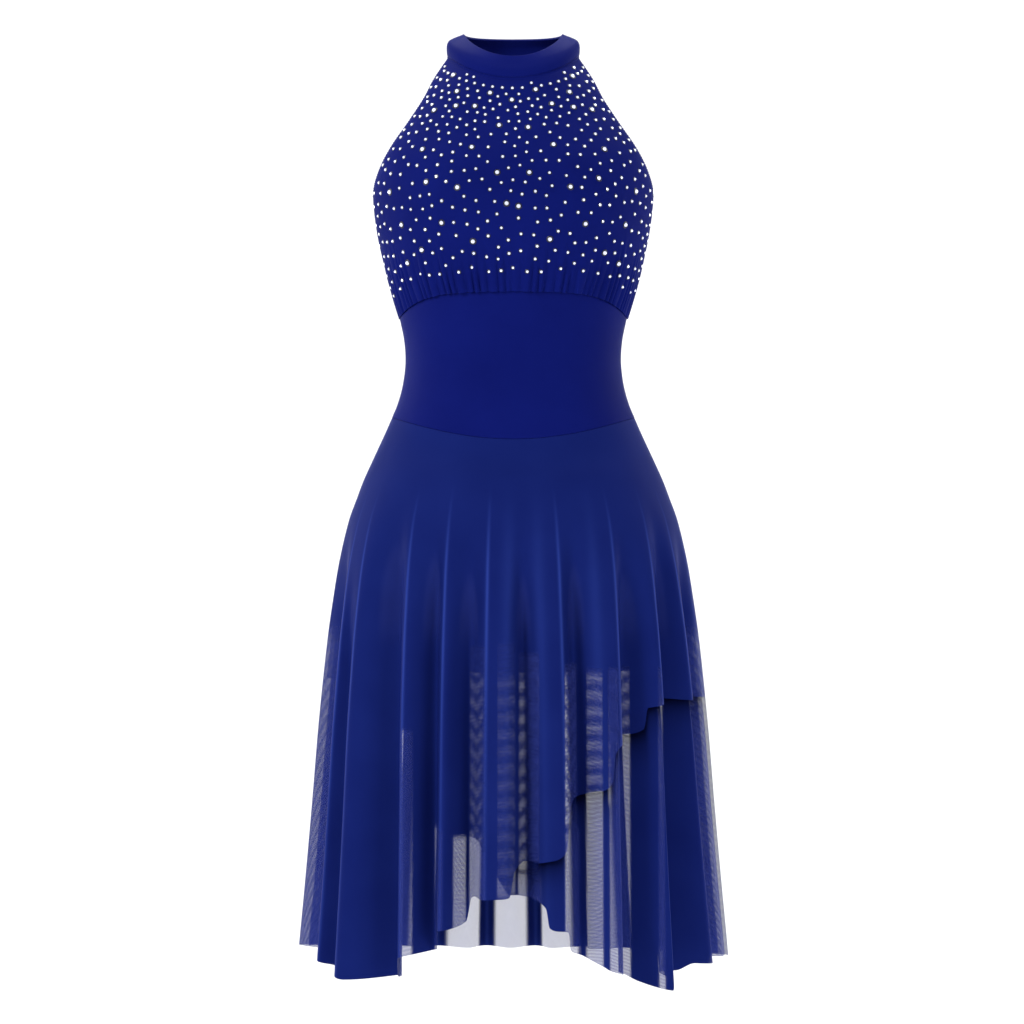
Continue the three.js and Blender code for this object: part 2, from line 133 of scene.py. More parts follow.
# %% The bodice's and waistband's forms
bodice = rings(
    ["side_z", "half", "front_side", "back_side", "front_z", "front_y", "back_z", "back_y"],
    [
        [0, 69.5, 0, 0, -32, -62, 0, 58],
        [-25, 84, -16, 14, -52, -72.5, -26, 71],
        [-47, 94.5, -26, 23, -72, -84, -51, 82],
        [-72, 110, -33, 28, -95, -97, -78, 91],
        [-97.5, 127.5, -34, 28, -118, -109, -104, 96.5],
        [-123, 141.5, -24, 17, -140, -117.5, -129, 99],
        [-148, 148.2, -6, -4, -160, -122.5, -152, 99],
        [-187, 144, -5, -5, -190, -119.5, -188, 95],
        [-225, 135.5, -5, -5, -220, -110, -225, 87],
        [-250, 128.5, -5, -5, -238, -104, -250, 82],
        [-277, 120, -5, -5, -255, -99, -273, 78],
    ],
)
waistband = rings(
    ["side_z", "half", "front_z", "front_y", "back_z", "back_y"],
    [
        [-277, 120, -255, -99, -273, 78],
        [-299, 115.5, -283, -91.5, -297, 75.5],
        [-320, 114, -313, -87, -320, 75],
        [-345, 116.5, -346, -90.5, -345, 79],
        [-366, 122, -378, -96, -367, 85],
        [-382, 128.5, -406, -101, -386, 92],
    ],
)
BUST = {"rise": 6, "apart": 70, "spread": 40, "height": -166, "tall": 50}
BACK_HALTER_INSET = 4


def neck_seam(angle):
    return cosine(angle) ** 1.5


def empire_seam(angle):
    return 1 - np.abs(np.sin(np.radians(angle))) ** 5


def waist_seam(angle):
    return cosine(angle) ** 2.2


def bodice_point(side, angle, level):
    side_z = bodice["side_z"](level)
    arch = mix(neck_seam(angle), empire_seam(angle), smooth(level))
    z = mix(side_z, bodice[f"{side}_z"](level), arch) + SEAM_GAP * level
    halter = smooth(-side_z / 40) * smooth((side_z + 150) / 40)
    inset = BACK_HALTER_INSET if side == "back" else 0
    half = bodice["half"](level) - inset * halter
    p = section(angle, z, half, bodice[f"{side}_side"](level), bodice[f"{side}_y"](level))
    if side == "front":
        across = (np.abs(p[..., 0]) - BUST["apart"]) / BUST["spread"]
        up = (p[..., 2] - BUST["height"]) / BUST["tall"]
        p[..., 1] -= BUST["rise"] * np.exp(-(across**2) - up**2)
    return p


def waistband_point(side, angle, level):
    arch = mix(empire_seam(angle), waist_seam(angle), smooth(level))
    z = mix(waistband["side_z"](level), waistband[f"{side}_z"](level), arch)
    return section(angle, z, waistband["half"](level), -5, waistband[f"{side}_y"](level))


# %% [markdown]
# ## The collar
#
# A stand collar is one strip folded along its top edge and closed into a ring. It leans in towards the
# neck, and its rim dips at the front. The seam below it is the bodice's first ring.

# %% The collar's form
collar = curves(
    ["level", "half", "front", "back"],
    [[0, 69.5, -62, 58], [0.4, 70.3, -58.5, 60], [0.72, 68, -54, 57.5], [1, 52, -50, 51]],
)
COLLAR_RIM = {"side": 25.4, "front_drop": 31, "back_rise": 3}


def collar_point(angle, level):
    c = np.cos(np.radians(angle))
    front = c > 0
    seam = np.where(front, -32, 0) * neck_seam(angle) + SEAM_GAP
    rim = np.where(front, -COLLAR_RIM["front_drop"] * np.abs(c) ** 1.35, COLLAR_RIM["back_rise"] * c * c)
    end = np.where(front, collar["front"](level), collar["back"](level))
    return section(angle, mix(seam, COLLAR_RIM["side"] + rim, level), collar["half"](level), 0, end)


# %% [markdown]
# ## The skirt's folds
#
# A flared skirt falls in folds because its hem is far longer than its waist. Each crest fans out from a
# place on the hip to a place on the hem, and the troughs deepen on the way down. One table of crests and
# troughs shapes both front panels, so that the inner one nests inside the outer one.

# %% The skirt's and lining's forms
skirt = curves(
    ["z", "half", "side_y", "front_y", "back_y"],
    [
        [-382, 128.5, -5, -96, 91],
        [-403, 138, -5, -101, 100],
        [-426, 148.4, -4, -109, 112],
        [-447, 158, -3, -117, 121],
        [-468, 166, -2, -124, 129],
        [-490, 174, -1, -130, 136],
        [-532, 184, 0, -140, 147],
        [-574, 191, 0, -148, 155],
        [-617, 197, 0, -155, 161],
        [-702, 206, 0, -168, 173],
        [-786, 213, 0, -180, 184],
        [-871, 220.5, 0, -191, 195],
        [-940, 227, 0, -200, 204],
        [-980, 230, 0, -205, 209],
    ],
)
lining = curves(
    ["z", "half", "side_y", "front_y", "back_y"],
    [
        [-382, 125.5, -5, -93, 88],
        [-403, 134.5, -5, -98, 96.5],
        [-426, 143.5, -4, -104, 106.5],
        [-447, 150, -3, -108.5, 113.5],
        [-468, 154.5, -2, -111.5, 118],
        [-490, 158.5, -1, -113.5, 121],
        [-545, 163.5, 0, -115, 124],
        [-600, 164.5, 0, -114, 121],
        [-646, 163.5, 0, -112, 118],
    ],
)
fold_depth = curves(
    ["z", "depth"],
    [
        [-400, 0], [-430, 0.3], [-447, 1.5], [-468, 4], [-490, 7.5], [-532, 13.5], [-574, 19],
        [-617, 24], [-702, 30], [-786, 34.5], [-871, 38], [-980, 41],
    ],
)["depth"]
HIP_BLEND = 45
LINING_EASE = 90
LINING_STEP = 3.0
LINING_HEM = -645
FAN_TOP, FAN_HEM = -430, -950
FOLD_START_LENGTH = 140
CREST_TURN = {"degrees": 2.0, "spread": 0.567}
TROUGH_LIFT = 3
NET_STEP = {"seam": 1.5, "full": 3.8}


def fold_places(*rows):
    """Angles on the hip and at the hem, and for a trough its share of the depth and where it starts."""
    full = [[*row, 0, FAN_TOP][:4] for row in rows]
    return table(["top", "hem", "share", "start"], full)


front_folds = fold_places(
    [-90, -90], [-77, -71, 0.8, -470], [-68.5, -63], [-64.5, -58.5, 0.45, -520], [-59, -53],
    [-43, -36, 1, -440], [-36.7, -30.5], [-26.5, -23.5, 1, -450], [-22.4, -19.5],
    [-14, -12.7, 1, -470], [-8.2, -7.6], [-1.5, -1.2, 0.02, -430], [3, 3.6, 1, -470],
    [8, 8.4, 0.02, -430], [14.6, 14.4], [20, 19.6, 1, -460], [27, 24.5, 0.1, -430], [34.9, 30],
    [38.8, 35, 1, -470], [51.5, 47], [57, 53.5, 1, -450], [65.5, 68], [75, 75, 0.8, -470],
    [84, 84, 0.05, -430], [90, 90],
)
back_folds = fold_places(
    [90, 90], [96, 96, 0.6, -480], [103, 103.5], [110, 109.5, 0.9, -460], [117, 118],
    [123, 123.5, 1, -450], [131, 131.5], [139, 138, 0.9, -490], [146, 145.5], [154, 153.5, 1, -455],
    [160, 159.5], [167, 167.5, 0.9, -470], [174, 173.5], [182, 181, 1, -460], [187, 187.5],
    [194, 195.5, 1, -450], [202, 202], [209, 208, 0.85, -500], [215, 214.5], [223, 222, 1, -455],
    [229, 228.5], [236, 236.5, 0.9, -465], [243, 242.5], [250, 250, 1, -450], [256, 256.5],
    [264, 264, 0.6, -475], [270, 270],
)


def hem_line(*rows):
    """A hem's height by the angle round the body, from rows of both."""
    return curves(["angle", "z"], rows)["z"]


hems = {
    "over": hem_line(
        [-90, -938], [-66, -941], [-57, -950], [-50, -956], [-38, -954], [-32.8, -949],
        [-31.4, -928], [-22.6, -923], [-21.4, -902], [-14.2, -895], [-12.8, -872], [-7, -867],
        [-1, -865], [0.4, -841], [8, -831], [14.4, -820], [15.9, -788], [23, -765], [28.6, -754],
        [29.9, -725], [36, -713], [43.4, -704], [44.7, -682], [62, -676], [90, -676],
    ),
    "under": hem_line(
        [-90, -655], [-54, -669], [-40, -690], [-34, -700], [-28.5, -708], [-24, -752], [-19, -796],
        [-13.5, -811], [-7, -828], [-2, -857], [3, -869], [7.9, -876], [9.2, -894], [16, -902],
        [17.4, -921], [25, -938], [34, -948], [39, -959], [46, -965], [48.6, -957], [58, -955],
        [62, -947], [90, -949],
    ),
    "back": hem_line(
        [90, -951], [120, -962], [150, -970], [180, -972], [210, -968], [240, -956], [270, -940],
    ),
}


def fold_angle(folds, i, z):
    fan = np.clip((z - FAN_TOP) / (FAN_HEM - FAN_TOP), 0, 1)
    return mix(folds["top"][i], folds["hem"][i], fan)


def hard_share(folds, angle, z):
    """How deep a fold is here, as a share of the full depth, with a plain step between its rows."""
    share = np.zeros(np.broadcast(angle, z).shape)

    def depth(i):
        return folds["share"][i] * smooth((folds["start"][i] - z) / FOLD_START_LENGTH)

    for i in range(len(folds["top"]) - 1):
        left, right = fold_angle(folds, i, z), fold_angle(folds, i + 1, z)
        here = mix(depth(i), depth(i + 1), smooth((angle - left) / (right - left)))
        share = np.where((angle >= left) & (angle <= right), here, share)
    return share


def fold_share(folds, angle, z):
    """The same, softened over a few degrees as cloth turns over a crest."""
    turns = np.linspace(-1, 1, 7)
    weights = np.exp(-0.5 * (turns / CREST_TURN["spread"]) ** 2)
    shares = [hard_share(folds, angle + CREST_TURN["degrees"] * turn, z) for turn in turns]
    return sum(weight * share for weight, share in zip(weights, shares)) / sum(weights)


def hanging_point(outline, side, angle, drop, z, inset):
    """A point of a tube that runs on from the waistband's slope and takes its own outline below it."""
    ring, above = waistband_point(side, angle, 1), waistband_point(side, angle, 0.9)
    run = drop / (above[..., 2] - ring[..., 2])
    end_y = outline[f"{side}_y"](z)
    p = section(angle, z, outline["half"](z), outline["side_y"](z), end_y)
    turn = smooth(drop / HIP_BLEND)
    x = mix(ring[..., 0] + (ring[..., 0] - above[..., 0]) * run, p[..., 0], turn)
    y = mix(ring[..., 1] + (ring[..., 1] - above[..., 1]) * run, p[..., 1], turn)
    nx = x / outline["half"](z) ** 2
    ny = (y - outline["side_y"](z)) / (end_y - outline["side_y"](z)) ** 2
    long = np.hypot(nx, ny)
    return np.stack([x - nx / long * inset, y - ny / long * inset, z + 0 * x], axis=-1)


# %% [markdown]
# ## From a form to a mesh
#
# A sheet of cloth is a grid: columns round the body and rows down it. Its UV map is laid out in metres
# of real cloth, because the net's holes and the knit's rows keep their size however the cloth falls.

# %% Grids of cloth
def normals(points):
    """Outward unit normals of a grid of points, rows first."""
    down = np.gradient(points, axis=0)
    along = np.gradient(points, axis=1)
    n = np.cross(down, along)
    return n / np.maximum(np.linalg.norm(n, axis=-1, keepdims=True), 1e-9)


def flat_map(points, centre):
    """Where each point lies on the flat cloth, in the points' own units."""
    along = np.linalg.norm(np.diff(points, axis=1), axis=-1)
    down = np.linalg.norm(np.diff(points, axis=0), axis=-1)
    u = np.cumsum(np.pad(along, ((0, 0), (1, 0))), axis=1)
    v = np.cumsum(np.pad(down, ((1, 0), (0, 0))), axis=0)
    return u - u[:, centre : centre + 1], -v


def add_object(name, data):
    obj = bpy.data.objects.new(name, data)
    bpy.context.collection.objects.link(obj)
    return obj


def grid_mesh(name, points, is_ring=False, values=None):
    """A mesh of quads over a grid of points in millimetres, with a UV map and point attributes."""
    rows, columns = points.shape[:2]
    kept = columns - 1 if is_ring else columns
    ids = np.arange(rows * kept).reshape(rows, kept)
    if is_ring:
        ids = np.concatenate([ids, ids[:, :1]], axis=1)
    quads = np.stack([ids[:-1, :-1], ids[1:, :-1], ids[1:, 1:], ids[:-1, 1:]], axis=-1).reshape(-1, 4)
    mesh = bpy.data.meshes.new(name)
    mesh.from_pydata((points[:, :kept].reshape(-1, 3) * MM).tolist(), [], quads.tolist())
    u, v = flat_map(points, columns // 2)
    uv = np.stack([u, v], axis=-1) * MM
    corners = [uv[:-1, :-1], uv[1:, :-1], uv[1:, 1:], uv[:-1, 1:]]
    layer = mesh.uv_layers.new(name="Cloth")
    layer.data.foreach_set("uv", np.stack(corners, axis=2).reshape(-1))
    for key, value in (values or {}).items():
        attribute = mesh.attributes.new(key, "FLOAT", "POINT")
        attribute.data.foreach_set("value", value[:, :kept].reshape(-1).astype(np.float32))
    mesh.polygons.foreach_set("use_smooth", [True] * len(mesh.polygons))
    return add_object(name, mesh)


def apply_modifiers(obj):
    """Turns what the modifiers make into a plain mesh and takes the modifiers away."""
    graph = bpy.context.evaluated_depsgraph_get()
    ready = obj.evaluated_get(graph)
    made = bpy.data.meshes.new_from_object(ready, preserve_all_data_layers=True, depsgraph=graph)
    old, name = obj.data, obj.data.name
    obj.modifiers.clear()
    obj.data = made
    bpy.data.meshes.remove(old)
    made.name = name
    return obj


WALL = {"collar": 2.4, "bodice": 1.6, "waistband": 2.0, "lining": 1.0}
EDGE = {"collar": 0.7, "bodice": 0.4, "waistband": 0.5, "lining": 0.3}


def cloth_piece(kind, name, points, material, is_ring=False):
    """A sheet with its wall to the inside and its cut edges turned over a small radius."""
    obj = grid_mesh(name, points, is_ring)
    wall = obj.modifiers.new("Wall", "SOLIDIFY")
    wall.thickness, wall.offset = WALL[kind] * MM, -1
    edge = obj.modifiers.new("Edge", "BEVEL")
    edge.width, edge.segments = EDGE[kind] * MM, 2
    edge.limit_method, edge.angle_limit = "ANGLE", math.radians(60)
    apply_modifiers(obj).data.materials.append(material)
    return obj


def parted(points, side):
    """Front pieces stop half a seam gap before the side line and back pieces half a gap behind it."""
    points[..., 1] += -SEAM_GAP / 2 if side == "front" else SEAM_GAP / 2
    return points


SIDES = {"front": (-90, 90), "back": (90, 270)}
DETAIL = 1.0


def evenly(first, last, number):
    return np.linspace(first, last, int(number * DETAIL))


def side_lattice(side, columns, rows):
    """The angles and levels of an even grid over one side of the dress."""
    return np.meshgrid(evenly(*SIDES[side], columns), evenly(0, 1, rows))


# %% [markdown]
# ## Helpers for materials
#
# Colours are written as the sRGB hex values that an eye would pick, and one function turns them into the
# linear light that Blender mixes. Another adds a node, sets its fields and links its inputs, and a few
# short ones make the nodes that most of the materials share.

# %% Material helpers
def linear(code):
    srgb = [int(code[i : i + 2], 16) / 255 for i in (1, 3, 5)]
    light = [c / 12.92 if c <= 0.04045 else ((c + 0.055) / 1.055) ** 2.4 for c in srgb]
    return (*light, 1.0)


def node(tree, kind, inputs=None, **settings):
    """Adds a node. Inputs are values or other nodes' output sockets, and settings are its fields."""
    made = tree.nodes.new(kind)
    for key, value in settings.items():
        setattr(made, key, value)
    for key, value in (inputs or {}).items():
        if isinstance(value, bpy.types.NodeSocket):
            tree.links.new(value, made.inputs[key])
        else:
            made.inputs[key].default_value = value
    return made


def maths(tree, operation, a, b=0.0, c=0.0):
    values = {0: a, 1: b, 2: c}
    return node(tree, "ShaderNodeMath", values, operation=operation).outputs[0]


def new_material(name):
    material = bpy.data.materials.new(name)
    material.use_nodes = True
    material.node_tree.nodes.clear()
    return material, material.node_tree


def blend(tree, factor, low, high):
    """Mixes two colours, each a hex value or another node's output."""
    low, high = [linear(colour) if isinstance(colour, str) else colour for colour in (low, high)]
    return node(tree, "ShaderNodeMix", {0: factor, 6: low, 7: high}, data_type="RGBA").outputs[2]


def clouding(tree, size_mm, detail=2.0):
    """A soft, uneven value over the object, in clouds of about this size."""
    place = node(tree, "ShaderNodeTexCoord").outputs["Object"]
    fields = {"Vector": place, "Scale": 1 / (size_mm * MM), "Detail": detail}
    return node(tree, "ShaderNodeTexNoise", fields).outputs["Fac"]


def principled(tree, fields):
    return node(tree, "ShaderNodeBsdfPrincipled", fields).outputs["BSDF"]


def set_surface(tree, shader):
    node(tree, "ShaderNodeOutputMaterial", {"Surface": shader})


# %% [markdown]
# ## Nylon spandex
#
# The collar, bodice and waistband are a warp-knitted nylon spandex. Its filaments are bright, so it has a
# soft satin gloss and a faint sheen at its edges, and its colour is even but for a slight clouding. The
# knit's wales are about 0.35 mm apart, which is too fine to show, so they are drawn about twice as coarse.

# %% The spandex material
# The wave texture draws one wave in this much of its own unit.
WAVE_UNIT = 2 * math.pi / 20
KNIT = {"wale": 0.66, "course": 0.566, "tone": 0.25, "relief": 0.15}


def ribs(tree, direction, spacing_mm):
    """Fine ribs across the cloth's own map."""
    place = node(tree, "ShaderNodeTexCoord").outputs["UV"]
    fields = {"Vector": place, "Scale": WAVE_UNIT / (spacing_mm * MM), "Distortion": 0.6}
    wave = node(tree, "ShaderNodeTexWave", fields, wave_type="BANDS", bands_direction=direction)
    return wave.outputs["Fac"]


def spandex(name, low, high, roughness, clouding_mm, sheen, gloss):
    material, tree = new_material(name)
    knit = maths(tree, "MULTIPLY", ribs(tree, "X", KNIT["wale"]), ribs(tree, "Y", KNIT["course"]))
    cloud = maths(tree, "MULTIPLY", clouding(tree, clouding_mm, 3.0), 1 - KNIT["tone"])
    tone = maths(tree, "MULTIPLY_ADD", knit, KNIT["tone"], cloud)
    height = {"Strength": 0.25, "Distance": KNIT["relief"] * MM, "Height": knit}
    fields = {
        "Base Color": blend(tree, tone, low, high),
        "Roughness": roughness,
        "Specular IOR Level": gloss,
        "Specular Tint": linear("#2c40d8"),
        "Sheen Weight": sheen,
        "Sheen Roughness": 0.35,
        "Sheen Tint": linear("#4a62ff"),
        "Normal": node(tree, "ShaderNodeBump", height).outputs["Normal"],
    }
    set_surface(tree, principled(tree, fields))
    return material


bodice_cloth = spandex("nylon_spandex_bodice", "#0a1152", "#111c6c", 0.55, 60, 0.03, 0.015)
band_cloth = spandex("nylon_spandex_band", "#0a1152", "#111b6a", 0.5, 90, 0.03, 0.03)
lining_cloth = spandex("nylon_lining", "#090e40", "#0d144e", 0.6, 80, 0.0, 0.08)
thread_cloth = spandex("polyester_thread", "#0b1250", "#121a60", 0.45, 20, 0.0, 0.15)

# %% [markdown]
# ## Stretch net
#
# The skirt is a fine stretch net: threads with holes between them. One ply in a trough lets between a
# third and a half of the light through, and where two plies lie over each other their rows slip in and
# out of step, which the eye sees as soft dark and light bands. The net here is drawn about twice as coarse
# as the real one, and each panel has its own row spacing, so that the bands come out at the size in which
# they are seen.
#
# Four point attributes steer it. Cover says how closed the net is: on the crests the cloth bunches and
# looks solid, and in the troughs it is sheer. Texture says how plainly the single threads show. Crest
# marks a painted highlight, a thin lighter line where the cloth turns over a fold, and shade the shadow
# below another panel's hem.
# Where the net is thin its threads look lighter, because light comes through them from behind.

# %% The net material
NET_WEAVE = {"rows": 0.7, "glow": 0.7}


def stretch_net(name, row_mm, column_mm):
    material, tree = new_material(name)
    place = node(tree, "ShaderNodeTexCoord")
    cloth = node(tree, "ShaderNodeSeparateXYZ", {"Vector": place.outputs["UV"]}).outputs

    def steered_by(name):
        return node(tree, "ShaderNodeAttribute", attribute_name=name).outputs["Fac"]

    def threads(along, spacing_mm):
        turn = maths(tree, "MULTIPLY", along, 2 * math.pi / (spacing_mm * MM))
        return maths(tree, "MULTIPLY_ADD", maths(tree, "COSINE", turn), 0.5, 0.5)

    rows = maths(tree, "MULTIPLY", threads(cloth["Y"], row_mm), NET_WEAVE["rows"])
    columns = threads(cloth["X"], column_mm)
    weave = maths(tree, "MULTIPLY_ADD", columns, 1 - NET_WEAVE["rows"], rows)
    edges = {"Value": weave, "From Min": 0.3, "From Max": 0.7, "To Min": -1.0, "To Max": 1.0}
    hard = node(tree, "ShaderNodeMapRange", edges, interpolation_type="SMOOTHSTEP")
    cover = steered_by("cover")
    room = maths(tree, "MULTIPLY", maths(tree, "SUBTRACT", 1.0, cover), cover)
    swing = maths(tree, "MULTIPLY", room, steered_by("texture"))
    closed = maths(tree, "MULTIPLY_ADD", hard.outputs["Result"], swing, cover)
    closed = node(tree, "ShaderNodeClamp", {"Value": closed}).outputs["Result"]

    thin = maths(tree, "MULTIPLY_ADD", cover, -NET_WEAVE["glow"], NET_WEAVE["glow"])
    colour = blend(tree, clouding(tree, 70), "#0f1a57", "#162366")
    # Painted highlight: the crest attribute lightens the net towards a paler blue along the fold crests.
    colour = blend(tree, steered_by("crest"), colour, "#283a88")
    colour = blend(tree, thin, colour, "#4c58b4")
    colour = blend(tree, steered_by("shade"), colour, "#04071f")
    fields = {
        "Base Color": colour,
        "Roughness": 0.5,
        "Specular IOR Level": 0.03,
        "Specular Tint": linear("#3350e0"),
        "Sheen Weight": 0.06,
        "Sheen Roughness": 0.3,
        "Sheen Tint": linear("#5a74ff"),
    }
    hole = node(tree, "ShaderNodeBsdfTransparent").outputs["BSDF"]
    through = {0: closed, 1: hole, 2: principled(tree, fields)}
    set_surface(tree, node(tree, "ShaderNodeMixShader", through).outputs["Shader"])
    return material


net_over = stretch_net("stretch_net_outer", 1.30, 1.15)
net_under = stretch_net("stretch_net_inner", 1.41, 1.15)
net_back = stretch_net("stretch_net_back", 1.22, 1.2)

# %% [markdown]
# ## The bodice panels
#
# The gathers are made by pulling a longer edge into a shorter seam. Each one is a rounded ridge that dies
# out a few centimetres up the cloth, each at its own length and height. Here a ridge gets its height and
# reach from its number, and the panel's points are pushed out along their normals.

# %% The bodice panels
GATHERS = {"front": 46, "back": 40}
GATHER_RISE = 4.2
GATHER_SWAY = {"places": 0.22, "lean": 0.0035}
GATHER_REACH = {"least": 22, "more": 34, "sides": 30}


def scatter(i, salt):
    """A steady number from 0 to 1 for a fold's number."""
    return np.mod(np.sin(i * 12.9898 + salt * 78.233) * 43758.5453, 1)


def gather_push(side, angle, height):
    first, last = SIDES[side]
    even = (angle - first) / (last - first) * GATHERS[side]
    lean = GATHER_SWAY["lean"] * height * np.sin(even * 0.9)
    along = even + GATHER_SWAY["places"] * np.sin(even * 1.7) + lean
    number = np.floor(along)
    ridge = np.abs(np.sin(np.pi * along)) ** 0.7
    near_side = np.abs(np.sin(np.radians(angle))) ** 3
    reach = GATHER_REACH["least"] + GATHER_REACH["more"] * scatter(number, 1)
    reach = reach + GATHER_REACH["sides"] * near_side
    fade = smooth(1 - height / reach) ** 0.7
    rise = GATHER_RISE * (0.4 + 0.6 * scatter(number, 2)) * (1 - 0.6 * near_side**2)
    return rise * ridge * fade


def bodice_grid(side, columns, rows):
    """The panel's points, with the rows closer together down where the gathers are."""
    angle, level = side_lattice(side, columns, rows)
    level = 1 - (1 - level) ** 1.35
    points = bodice_point(side, angle, level)
    height = points[..., 2] - points[-1:, :, 2]
    return parted(points + normals(points) * gather_push(side, angle, height)[..., None], side)


bodice_pieces = {
    side: cloth_piece("bodice", f"bodice_{side}_cloth", bodice_grid(side, 420, 76), bodice_cloth)
    for side in SIDES
}

# %% [markdown]
# ## The collar and the waistband
#
# Both are doubled spandex, so they are thicker than the rest and keep a smooth face. The collar's top is
# a fold and not a cut edge, so it is turned over a wider radius. Its seam allowance is pressed upwards
# inside it, which leaves a faint line all round a little above the seam. Its lower edge comes a millimetre
# down over the bodice's, so that no light shows through the seam.

# %% The collar and the waistband
COLLAR_GROOVE = {"level": 0.13, "deep": 0.7, "spread": 0.025}
COLLAR_TUCK = {"out": 0.3, "down": 1.3}


def make_collar():
    angle, level = np.meshgrid(evenly(-180, 180, 241), evenly(1, 0, 48))
    points = collar_point(angle, level)
    beside = (level - COLLAR_GROOVE["level"]) / COLLAR_GROOVE["spread"]
    groove = COLLAR_GROOVE["deep"] * np.exp(-(beside**2))
    points = points + normals(points) * (COLLAR_TUCK["out"] - groove)[..., None]
    points[..., 2] -= COLLAR_TUCK["down"] * (1 - level)
    return cloth_piece("collar", "collar_cloth", points, band_cloth, is_ring=True)


def make_waistband(side):
    points = parted(waistband_point(side, *side_lattice(side, 150, 40)), side)
    return cloth_piece("waistband", f"waistband_{side}_cloth", points, band_cloth)


collar_piece = make_collar()
waistband_pieces = {side: make_waistband(side) for side in SIDES}

# %% [markdown]
# ## The lining
#
# A short straight lining hangs from the same seam as the skirt. Its level hem shows through the net.

# %% The lining
def waist_height(side, angle):
    return waistband_point(side, angle, 1 + 0 * angle)[..., 2] - SEAM_GAP


def make_lining(side):
    angle, level = side_lattice(side, 120, 60)
    top = waist_height(side, angle)
    z = mix(top, LINING_HEM, level)
    inset = LINING_STEP * (1 - smooth((top - z) / LINING_EASE))
    points = parted(hanging_point(lining, side, angle, top - z, z, inset), side)
    return cloth_piece("lining", f"lining_{side}_cloth", points, lining_cloth)


lining_pieces = {side: make_lining(side) for side in SIDES}

# %% [markdown]
# ## The net panels
#
# Net is so thin that one layer of faces is the cloth. The inner front panel is the outer one moved in
# along its normals. A panel looks solid near the waist, where lining and crests back it, and on the
# crests all the way down, and it opens up in the troughs and in a strip beside each side seam. The folds
# ease out over a few degrees before the seam, and at the seam itself the net is turned in and closed.
#
# The front's folds lie over each other, so which stretches of it are see-through depends on how they
# fell. A table lists them by where they are across the front, in millimetres. A share above 1 is a place
# where the net is stretched wider still.

# %% The net panels
CLOSED = 1.0
OPENS = {"front": (0.45, 0.67), "back": (0.18, 0.38)}
WINDOW_EDGE = {"side": 2, "top": 6, "bottom": 8}
SIDE_STRIP = {"cosine": 0.42, "fade": 0.05}
SHEER = {"doubled": 0.8, "single": 0.7, "back": 0.56, "strip": 0.74, "lined": 0.88}
TEXTURE = {"doubled": 2.2, "single": 0.6, "strip": 1.0}
LINED = {"above": -585, "below": -625}
SEAM_EASE, SEAM_LINE = 4.0, 0.9
# Painted highlight along the fold crests: where it starts and fades, and how strong and wide its lines
# are.
CREST_HIGHLIGHT = {"top": -445, "fade": 110, "sharp_flank": 8, "most_share": 0.15}
CREST_HIGHLIGHT_DIMS = {"from": -600, "over": 200, "by": 0.5}
SHARP_CREST_HIGHLIGHT, SOFT_CREST_HIGHLIGHT = {"strength": 0.9, "spread": 0.5}, {"strength": 0.25, "spread": 2}
SHADE = {"above": 8, "fade": 16}
windows = table(
    ["across", "half_width", "top", "bottom", "share"],
    [
        [-108, 6, -703, -1000, 1.1],
        [-75, 4, -800, -1000, 0.7],
        [-54, 6, -808, -1000, 1],
        [-36, 8, -617, -800, 0.65],
        [-36, 8, -800, -1000, 1],
        [-7, 9, -613, -868, 0.5],
        [10, 4.5, -625, -845, 1],
        [20, 5.5, -625, -845, 2],
        [16, 11, -845, -1000, 1],
        [58, 6, -636, -800, 2.4],
        [59, 7, -800, -1000, 1.4],
        [82, 8, -640, -1000, 1],
        [101, 5, -640, -780, 1.6],
        [108, 11, -640, -1000, 0.9],
        [151, 3, -640, -1000, 0.9],
    ],
)


def in_window(points):
    """How far a place of a front panel lies inside one of the see-through stretches between its folds."""
    x, z = points[..., 0], points[..., 2]
    most = 0
    for across, half_width, top, bottom, share in zip(*windows.values()):
        beside = smooth((half_width - np.abs(x - across)) / WINDOW_EDGE["side"] + 0.5)
        below = smooth((top - z) / WINDOW_EDGE["top"] + 0.5)
        above = smooth((z - bottom) / WINDOW_EDGE["bottom"])
        most = np.maximum(most, share * beside * below * above)
    return most


def from_seam(side, angle):
    """Degrees to the nearer side seam."""
    first, last = SIDES[side]
    return np.minimum(angle - first, last - angle)


def cover_at(side, points, angle, share, other_hem):
    """How closed the net is: its threads' share of the cloth, and how plainly its threads show."""
    z = points[..., 2]
    over_lining = smooth((z - LINED["below"]) / (LINED["above"] - LINED["below"]))
    first, full = OPENS[side]
    in_trough = smooth((share - first) / (full - first))
    if side == "front":
        doubled = smooth((z - other_hem(angle)) / 3)
        sheer = mix(SHEER["single"], SHEER["doubled"], doubled)
        cover = mix(CLOSED, sheer, in_window(points) * (1 - over_lining))
        texture = mix(TEXTURE["single"], TEXTURE["doubled"], doubled)
        cover = np.minimum(cover, mix(CLOSED, SHEER["lined"], in_trough * over_lining))
    else:
        cover = mix(CLOSED, mix(SHEER["back"], SHEER["lined"], over_lining), in_trough)
        texture = TEXTURE["single"]
    at_side = smooth((SIDE_STRIP["cosine"] - cosine(angle)) / SIDE_STRIP["fade"]) * (1 - over_lining)
    texture = mix(texture, TEXTURE["strip"], at_side) * (1 - over_lining)
    cover = mix(cover, SHEER["strip"], at_side)
    return {"cover": mix(CLOSED, cover, smooth(from_seam(side, angle) / SEAM_LINE)), "texture": texture}


